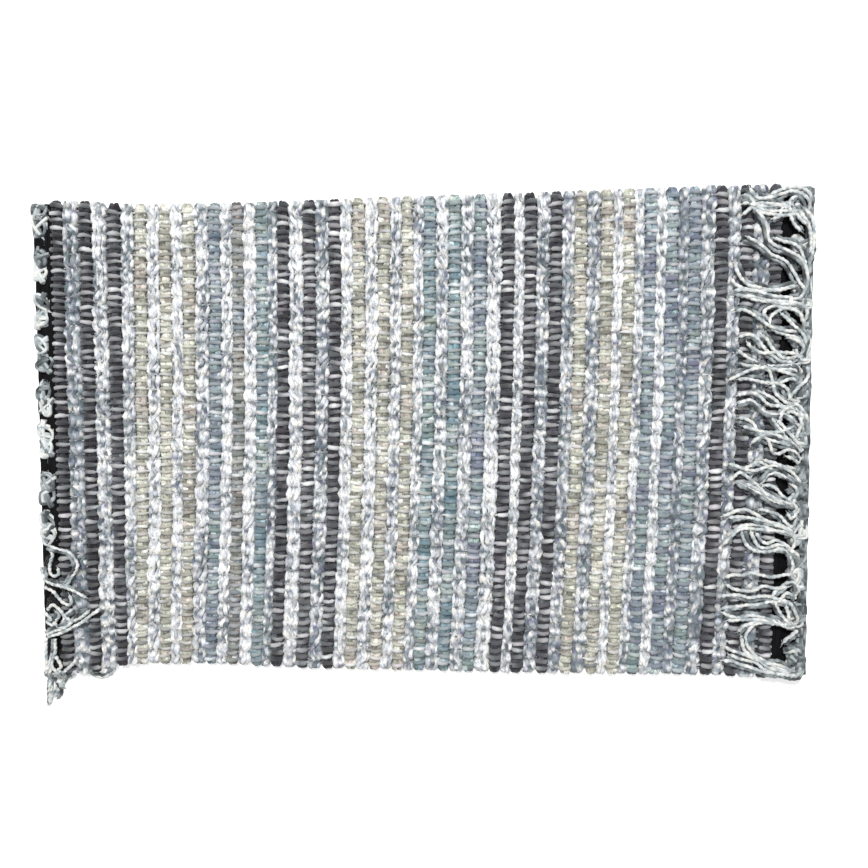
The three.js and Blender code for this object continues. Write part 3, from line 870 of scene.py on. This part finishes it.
# Stops along the strands, as x and y in turn: the right fringe lies back over the cloth in waves and
# loops
RIGHT_STRANDS = (
    (373, 133, 383, 136, 386, 142, 381, 150, 378, 155, 373, 164, 368, 170, 361, 174, 355, 176, 351, 180,
     346, 185, 338, 190, 330, 195),
    (390, 142, 389, 154, 386, 166, 380, 174, 372, 179, 364, 183, 356, 186, 352, 190, 350, 199, 348, 207,
     344, 214, 338, 221),
    (389, 148, 388, 162, 385, 175, 380, 184, 372, 189, 365, 190, 357, 193),
    (391, 164, 393, 176, 394, 191, 394, 202, 392, 211, 388, 218, 383, 222),
    (390, 170, 391, 183, 391, 195, 389, 204, 384, 213, 380, 218),
    (392, 218, 390, 226, 384, 233, 376, 237, 369, 237, 362, 235, 354, 232, 347, 231, 340, 232, 335, 237,
     332, 241),
    (393, 223, 390, 233, 384, 239, 376, 241, 368, 241, 360, 238, 352, 234),
    (372, 221, 368, 224, 360, 225, 353, 223, 345, 224, 337, 227, 332, 233, 326, 235),
    (377, 215, 372, 218, 362, 219, 354, 218, 346, 220, 339, 224),
    (371, 227, 371, 218, 373, 211, 377, 204, 382, 199),
    (377, 225, 378, 217, 381, 211, 387, 206),
    (365, 225, 363, 219, 360, 213, 355, 212),
    (353, 226, 343, 227, 336, 225, 331, 227, 326, 226),
    (351, 216, 341, 219, 334, 222, 329, 218, 326, 216),
    (352, 143, 341, 146, 331, 149, 326, 154, 322, 161, 320, 169),
    (335, 143, 325, 146, 320, 149, 316, 154),
    (383, 133, 373, 135, 362, 136, 350, 139, 339, 142, 328, 143, 319, 142),
    (389, 111, 390, 119, 386, 126, 378, 130, 368, 131, 356, 132, 345, 134, 333, 137, 320, 138),
    (380, 128, 369, 129, 359, 130, 347, 132, 335, 135, 325, 137),
    (389, 83, 386, 89, 380, 96, 371, 99, 363, 101, 357, 105, 354, 111, 355, 117, 360, 121, 368, 126,
     375, 128),
    (391, 85, 389, 93, 384, 101, 379, 106, 374, 111, 369, 115, 364, 120),
    (389, 102, 386, 111, 382, 119, 376, 123, 371, 124),
    (363, 104, 353, 108, 345, 113, 339, 118, 333, 122, 327, 124, 321, 122),
    (367, 125, 357, 127, 350, 124, 348, 120, 353, 114),
    (364, 74, 358, 78, 352, 83, 347, 90, 342, 96, 336, 99, 330, 99, 324, 97),
    (365, 77, 360, 82, 356, 87, 351, 94, 345, 99),
    (360, 82, 351, 81, 345, 82, 341, 84, 335, 87, 332, 92),
    (386, 72, 380, 69, 371, 69, 362, 68, 352, 69, 344, 71, 336, 75, 329, 80, 324, 85),
    (378, 65, 367, 66, 353, 65, 346, 68, 336, 69, 327, 71),
    (387, 77, 387, 83, 385, 88, 379, 94, 372, 96),
    (390, 57, 384, 65, 376, 71, 369, 75, 363, 78),
    (393, 68, 392, 60, 388, 53, 382, 48, 377, 42, 373, 36),
    (355, 66, 344, 67, 336, 65, 328, 61, 321, 58, 315, 55),
    (385, 49, 381, 54, 376, 56, 369, 54, 361, 51, 353, 52, 343, 54, 333, 56, 324, 56),
    (375, 31, 366, 36, 361, 41, 358, 49, 356, 57, 353, 65, 348, 69),
    (375, 36, 372, 44, 367, 49, 360, 52, 354, 51),
    (370, 27, 363, 29, 357, 30, 351, 33, 345, 39, 338, 42, 331, 42, 324, 40),
    (368, 21, 360, 21, 353, 22, 347, 26, 342, 32, 336, 35, 330, 34, 323, 32),
    (368, 29, 363, 33, 356, 38, 349, 42, 342, 44),
    (391, 8, 388, 17, 383, 24, 377, 27, 370, 26, 366, 21, 365, 14),
    (393, 6, 392, 14, 388, 24, 382, 30, 375, 31, 369, 26, 367, 19),
    (390, 0, 387, 9, 382, 20, 376, 24, 371, 22),
    (356, -4, 349, -1, 344, 4, 341, 10, 336, 15, 331, 17, 325, 17),
    (354, 3, 345, 5, 337, 7, 330, 9),
    (372, -4, 363, 0, 356, 2, 350, 1, 343, -3, 338, -8),
    (389, -16, 384, -12, 378, -7, 372, -2, 367, 4, 363, 10, 359, 16, 354, 23),
    (390, -15, 385, -10, 380, -5, 376, 0, 371, 6, 366, 11, 362, 15),
    (387, -4, 381, -5, 382, 2, 384, 8, 381, 12),
    (387, -26, 384, -20, 379, -15, 372, -14, 364, -18, 359, -17, 356, -11, 354, -4),
    (389, -22, 384, -27, 378, -23, 372, -20),
    (386, -49, 379, -44, 371, -40, 364, -37, 357, -33, 351, -28, 344, -26, 337, -30, 332, -33),
    (365, -65, 357, -60, 350, -54, 344, -49, 338, -44, 332, -39, 327, -36, 322, -40, 317, -45),
    (388, -52, 385, -49, 378, -44, 370, -40, 363, -37, 357, -38, 352, -43, 347, -48, 340, -52),
    (389, -52, 385, -45, 379, -38, 372, -33, 365, -29, 357, -26, 350, -24),
    (357, -30, 344, -34, 333, -34, 324, -30, 316, -28),
    (386, -77, 383, -72, 376, -69, 367, -67, 358, -64, 351, -59, 343, -55, 334, -51, 326, -46),
    (377, -67, 367, -64, 358, -60, 350, -56, 342, -52, 333, -47),
    (380, -68, 375, -64, 369, -60, 364, -54, 359, -50, 352, -49, 346, -52),
    (386, -68, 381, -62, 383, -58, 382, -53, 377, -48),
    (384, -105, 381, -101, 377, -96, 370, -91, 363, -89, 356, -86, 349, -82, 343, -78, 336, -74, 327, -74,
     319, -77, 311, -80),
    (372, -91, 363, -87, 352, -85, 343, -83, 334, -81, 326, -81, 317, -82),
    (377, -90, 372, -86, 368, -81, 362, -77, 355, -75, 346, -73),
    (386, -69, 386, -74, 382, -78, 378, -82, 374, -77),
    (372, -96, 363, -94, 353, -94, 345, -93, 336, -92, 329, -93, 323, -97, 317, -103, 311, -109),
    (358, -93, 345, -89, 331, -90, 324, -94, 316, -100),
    (386, -125, 382, -119, 378, -114, 372, -109, 365, -108, 358, -111, 351, -112, 345, -109, 342, -103,
     338, -95),
    (378, -112, 370, -107, 362, -104, 354, -107, 348, -104, 344, -97),
    (373, -115, 363, -114, 353, -116, 342, -114, 336, -110, 332, -104, 330, -95),
    (378, -136, 380, -130, 379, -123, 375, -117, 370, -113, 363, -111),
    (389, -127, 386, -121, 381, -116, 374, -113),
    (388, -143, 381, -140, 373, -138, 365, -140, 358, -141, 350, -139, 341, -137, 332, -139, 323, -139,
     313, -142),
    (385, -162, 387, -156, 385, -150, 380, -146, 374, -147, 369, -151, 364, -156, 360, -162),
    (386, -164, 381, -160, 375, -157, 370, -161, 365, -166),
    (374, -166, 362, -166, 354, -167, 344, -169, 335, -170, 326, -171, 318, -172, 311, -174),
    (382, -195, 374, -190, 366, -187, 358, -184, 350, -181, 340, -180, 330, -182, 320, -181, 312, -177),
    (379, -193, 371, -190, 363, -187, 355, -185, 347, -184, 337, -184, 327, -185, 317, -185),
    (383, -195, 379, -190, 374, -184, 369, -178, 365, -171, 363, -164),
    (385, -193, 386, -186, 384, -179, 381, -172, 377, -166),
    (382, -192, 377, -183, 376, -176, 374, -170),
    (388, -235, 378, -235, 368, -233, 360, -229, 353, -225, 345, -220, 339, -214, 336, -207, 336, -199,
     340, -193, 347, -188, 355, -187, 364, -189),
    (368, -230, 358, -228, 350, -226, 343, -222, 337, -218, 332, -210, 331, -202),
    (357, -184, 346, -186, 338, -189, 332, -192, 328, -197),
    (389, -197, 381, -200, 376, -203, 372, -207),
    (375, -237, 365, -234, 357, -232, 351, -227, 342, -223, 333, -219, 323, -216, 315, -212),
    (362, -235, 354, -234, 347, -229, 338, -226, 329, -224, 320, -221),
    (355, -237, 341, -233, 332, -230, 323, -227, 313, -226),
    (392, -233, 389, -239, 381, -240, 372, -239, 362, -238, 352, -237),
    (387, -225, 387, -221, 382, -216, 377, -217),
    (360, -152, 351, -150, 341, -155, 332, -155, 323, -153, 315, -149),
    (359, -161, 349, -160, 338, -162, 327, -159, 316, -160, 310, -161),
)

# Strands of the left end that show: over the cloth, or off the near corner onto the floor
FOLDED_LEFT_KNOTS = 6
LEFT_STRANDS = (
    (-384, -115, -377, -118, -369, -120, -362, -122, -356, -128, -353, -134, -354, -141, -359, -147,
     -365, -157),
    (-384, -118, -381, -125, -383, -133, -384, -141, -382, -147, -378, -148, -374, -144, -375, -139),
    (-392, -138, -391, -145, -388, -152, -382, -156, -375, -157, -368, -156),
    (-390, -160, -380, -165, -374, -172, -369, -177, -363, -178, -361, -174, -363, -168),
    (-379, -156, -368, -159, -357, -163, -344, -170),
    (-387, -183, -381, -178, -374, -183, -369, -189, -362, -194),
    (-388, -211, -379, -205, -372, -198, -367, -189, -360, -183),
    (-387, -213, -376, -209, -365, -205, -355, -199, -346, -194, -337, -187, -329, -181),
    (-388, -210, -378, -206, -368, -202, -358, -195, -349, -190, -341, -184),
    (-390, -187, -384, -192, -379, -198, -374, -202, -365, -200),
    (-389, -196, -383, -200, -378, -195, -375, -189, -379, -185),
    (-389, -213, -390, -230, -390, -248, -396, -271, -396, -291),
    (-383, -230, -387, -243, -395, -263, -396, -280),
    (-380, -215, -380, -226, -383, -236, -385, -246, -393, -263, -394, -276, -396, -291),
    (-379, -233, -375, -240, -374, -245, -378, -249),
    (-355, -234, -362, -242, -368, -248, -374, -253),
    (-385, -243, -378, -252, -377, -261, -366, -259),
    (-375, -249, -386, -265, -391, -277, -396, -290),
    (-383, -252, -384, -267, -379, -272),
    (-373, -254, -383, -267, -386, -276, -390, -283),
    (-346, -248, -347, -258, -338, -260, -329, -258, -322, -250),
)


def fringe_right(material):
    """Knots at the right end and strands that lie back over the cloth."""
    rng = np.random.default_rng(41)
    knots, _ = knot_groups(rng, RIGHT_KNOT_X - 0.5, -1, 0.75, 0)
    home = knot_y(np.arange(KNOT_COUNT), FIELD_RIGHT)
    table = []
    for stops in RIGHT_STRANDS:
        if stops[0] < RIGHT_KNOT_X - 6:
            stops = (RIGHT_KNOT_X - 2, home[np.argmin(np.abs(home - stops[1]))]) + stops
        table.append(stops)
    path, s, grey = strand_lines(rng, table, 0.7)
    rows = len(path)
    layer = np.where(grey, 0.0, 1.0) + rng.uniform(0, STRAND_LAYERS, rows)
    top = rug_top(path[..., 0]) + FRINGE_RADIUS + layer[:, None] + 0.4 * Waves(rng, rows, 40).at(s)
    z = STRAND_ROOT + (top - STRAND_ROOT) * smoothstep(s, 0, ROOT_RISE)
    groups = knots + strand_groups(rng, np.concatenate([path, z[..., None]], -1), s, grey)
    piece = mesh_object("fringe_right_yarn", groups, material)
    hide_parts("fringe_right")
    return piece


def fringe_left(material):
    """Knots at the left end, strands over the cloth and off its corner, and tucked ones under it."""
    rng = np.random.default_rng(53)
    # The knots by the near corner are painted near-black as shade
    knots, line = knot_groups(rng, LEFT_KNOT_X + 2.6, 1, 0.56, FOLDED_LEFT_KNOTS)
    path, s, grey = strand_lines(rng, LEFT_STRANDS, 0.4)
    rows = len(path)
    near = near_edge(path[..., 0])
    over = smoothstep(path[..., 1], near - 6, near + 6)
    layer = rng.uniform(0, STRAND_LAYERS, (rows, 1))
    z = FRINGE_RADIUS + (rug_top(path[..., 0]) + layer) * over
    groups = knots + strand_groups(rng, np.concatenate([path, z[..., None]], -1), s, grey)
    tucked = line[FOLDED_LEFT_KNOTS:, 0]
    rows = len(tucked) * len(TUCKED_STEPS)
    start = np.repeat(tucked, len(TUCKED_STEPS), axis=0)
    start[:, 1] += np.tile(TUCKED_STEPS, len(tucked))
    s = np.linspace(0, 1, 12)[None, :] * rng.uniform(*TUCKED_LENGTH, rows)[:, None]
    x = start[:, :1] + s
    y = np.minimum(start[:, 1:2] + 2.0 * Waves(rng, rows, 50).at(s), far_edge(x) - 6)
    z = np.full_like(x, TUCKED_HEIGHT)
    rings = sweep(np.stack([x, y, z], -1), 1.3, 1.2, (0, 1, 0), 5)
    groups.append((rings, mixed_tint(rng, FRINGE_SHADES, rows, s, 40)))
    piece = mesh_object("fringe_left_yarn", groups, material)
    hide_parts("fringe_left")
    return piece


# Sheet inside the wefts: heights at its ends, in the valleys, on pale wefts and on ribs, half widths of
# these, distance from the selvedges, how far its colour is darkened as painted shade, and height of its
# underside
BODY_END, BODY_VALLEY, BODY_PALE, BODY_RIB = 2.2, 3.4, 5.0, 6.0
BODY_PALE_HALF, BODY_RIB_HALF = 2.6, 4.0
BODY_INSET = 3.5
BODY_SHADE_DEPTH = 0.55
BODY_LOW = 1.0
BODY_RIM = 1.2
BODY_STEPS = 49


def body_sheet(material):
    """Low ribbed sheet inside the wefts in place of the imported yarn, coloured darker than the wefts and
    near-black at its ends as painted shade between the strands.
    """
    stations = [(FIELD_LEFT + 0.5, BODY_END)]
    tint = [linear(HEADING_SHADES).mean(axis=0)]
    for weft in range(WEFT_COUNT):
        x = weft_home[weft]
        shades = FLECK_SHADES if weft % 2 else RIB_SHADES[RIB_CHART[weft // 2]]
        # Each weft's colour darkened: painted shade between the strands
        tint += [BODY_SHADE_DEPTH * linear(shades).mean(axis=0)] * 4
        half = BODY_PALE_HALF * weft_broad[weft] if weft % 2 else BODY_RIB_HALF
        high = BODY_PALE if weft % 2 else BODY_RIB
        stations += [(x - half - 1.0, BODY_VALLEY), (x - half, high)]
        stations += [(x + half, high), (x + half + 1.0, BODY_VALLEY)]
    stations.append((FIELD_RIGHT - 0.5, BODY_END))
    tint.append(tint[0])
    x0, top = np.array(stations).T
    share = np.linspace(0, 1, BODY_STEPS)[None, :]
    near, far = near_edge(x0)[:, None] + BODY_INSET, far_edge(x0)[:, None] - BODY_INSET
    y = near + (far - near) * share
    x = x0[:, None] + skew(x0[:, None], y)
    edge = np.where((share < 0.01) | (share > 0.99), 0.35, 1.0)
    z_top = lift(x0)[:, None] + BODY_RIM + (top[:, None] - BODY_RIM) * edge
    z_low = lift(x0)[:, None] + BODY_LOW + 0 * y
    columns, rows = x.shape
    upper = np.stack([x, y, z_top], -1).reshape(-1, 3)
    lower = np.stack([x, y, z_low], -1).reshape(-1, 3)
    places = (np.concatenate([upper, lower]) + SHIFT) * MM
    grid = np.arange(columns * rows).reshape(columns, rows)
    corners = [grid[:-1, :-1], grid[1:, :-1], grid[1:, 1:], grid[:-1, 1:]]
    top_faces = np.stack(corners, -1).reshape(-1, 4)
    low_faces = top_faces[:, ::-1] + columns * rows
    rim = np.concatenate([grid[:, 0], grid[-1, 1:], grid[-2::-1, -1], grid[0, -2:0:-1]])
    after = np.roll(rim, -1)
    walls = np.stack([rim, rim + columns * rows, after + columns * rows, after], -1)
    mesh = bpy.data.meshes.new("weave_body")
    mesh.from_pydata(places.tolist(), [], np.concatenate([top_faces, low_faces, walls]).tolist())
    mesh.update()
    tint_mesh(mesh, np.tile(np.repeat(tint, rows, axis=0), (2, 1)))
    piece = add_piece("weave_body", mesh, material)
    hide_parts("woven_field")
    return piece


def floor_stage():
    """Plain pale floor that only carries the rug in the picture."""
    mesh = bpy.data.meshes.new("floor")
    half = 4.0
    corners = [(-half, -half, 0), (half, -half, 0), (half, half, 0), (-half, half, 0)]
    mesh.from_pydata(corners, [], [(0, 1, 2, 3)])
    floor = bpy.data.objects.new("floor", mesh)
    bpy.context.scene.collection.objects.link(floor)
    material = bpy.data.materials.new("pale_floor")
    material.use_nodes = True
    shader = material.node_tree.nodes["Principled BSDF"]
    shader.inputs["Base Color"].default_value = (0.9, 0.9, 0.9, 1)
    shader.inputs["Roughness"].default_value = 0.95
    shader.inputs["Emission Color"].default_value = (1, 1, 1, 1)
    shader.inputs["Emission Strength"].default_value = 0.32
    mesh.materials.append(material)


def light(name, place, size, energy):
    """Round lamp that faces the origin."""
    data = bpy.data.lights.new(name, "AREA")
    data.shape = "DISK"
    data.size = size
    data.energy = energy
    lamp = bpy.data.objects.new(name, data)
    bpy.context.scene.collection.objects.link(lamp)
    lamp.location = place
    x, y, z = place
    lamp.rotation_euler = (math.atan2(math.hypot(x, y), z), 0, math.atan2(x, -y))


# A camera held by hand just right of and beyond the middle, looking almost straight down
CAMERA_PLACE = (74.2, 39.9, 794.8)
CAMERA_TURN = (-2.79, 3.707, -0.244)
CAMERA_LENS = 32.0


def camera():
    data = bpy.data.cameras.new("camera")
    data.lens = CAMERA_LENS
    data.sensor_width = 36.0
    data.sensor_fit = "HORIZONTAL"
    eye = bpy.data.objects.new("camera", data)
    bpy.context.scene.collection.objects.link(eye)
    eye.location = tuple((np.array(CAMERA_PLACE) + SHIFT) * MM)
    eye.rotation_euler = tuple(np.radians(CAMERA_TURN))
    bpy.context.scene.camera = eye


def studio():
    floor_stage()
    world = bpy.data.worlds.new("studio")
    bpy.context.scene.world = world
    world.use_nodes = True
    background = world.node_tree.nodes["Background"]
    background.inputs["Color"].default_value = (1, 1, 1, 1)
    background.inputs["Strength"].default_value = 0.26
    light("key", (-0.2, 1.2, 2.0), 0.45, 52)
    light("fill", (0.6, -0.6, 2.4), 2.4, 24)
    camera()
    bpy.context.scene.view_settings.view_transform = "Standard"


studio()
rag = yarn_material("rag_cloth", (1.0, 0.7, 1.0), 500, 0.6, 0.15, 0.5)
bulky = yarn_material("bulky_weft", (1.0, 0.6, 1.0), 480, 0.8, 0.25, 0.4)
warp = yarn_material("warp_cotton", (0.4, 1.0, 1.0), 1100, 0.5, 0.2, 0.12)
loose = yarn_material("fringe_cotton", (1.0, 1.0, 1.0), 900, 0.3, 0.2, 0.1)
black = yarn_material("heading_cloth", (1.0, 0.7, 1.0), 620, 0.4, 0.0, 0.2)

pieces = [
    rib_piece("charcoal_wefts", "KDC", 101, rag),
    rib_piece("sand_wefts", "S", 102, rag),
    rib_piece("blue_wefts", "BTO", 103, rag),
    pale_piece("pale_wefts_a", "W", 104, bulky),
    pale_piece("pale_wefts_b", "MFG", 105, bulky),
    warp_piece("warps_a", set_a, over_ribs("A"), 106, warp),
    warp_piece("warps_b_even", set_b[::2], over_ribs("B") | over_pale(0), 107, warp),
    warp_piece("warps_b_odd", set_b[1::2], over_ribs("B") | over_pale(1), 108, warp),
    heading_piece(black),
    fringe_right(loose),
    fringe_left(loose),
]
body = body_sheet(rag)
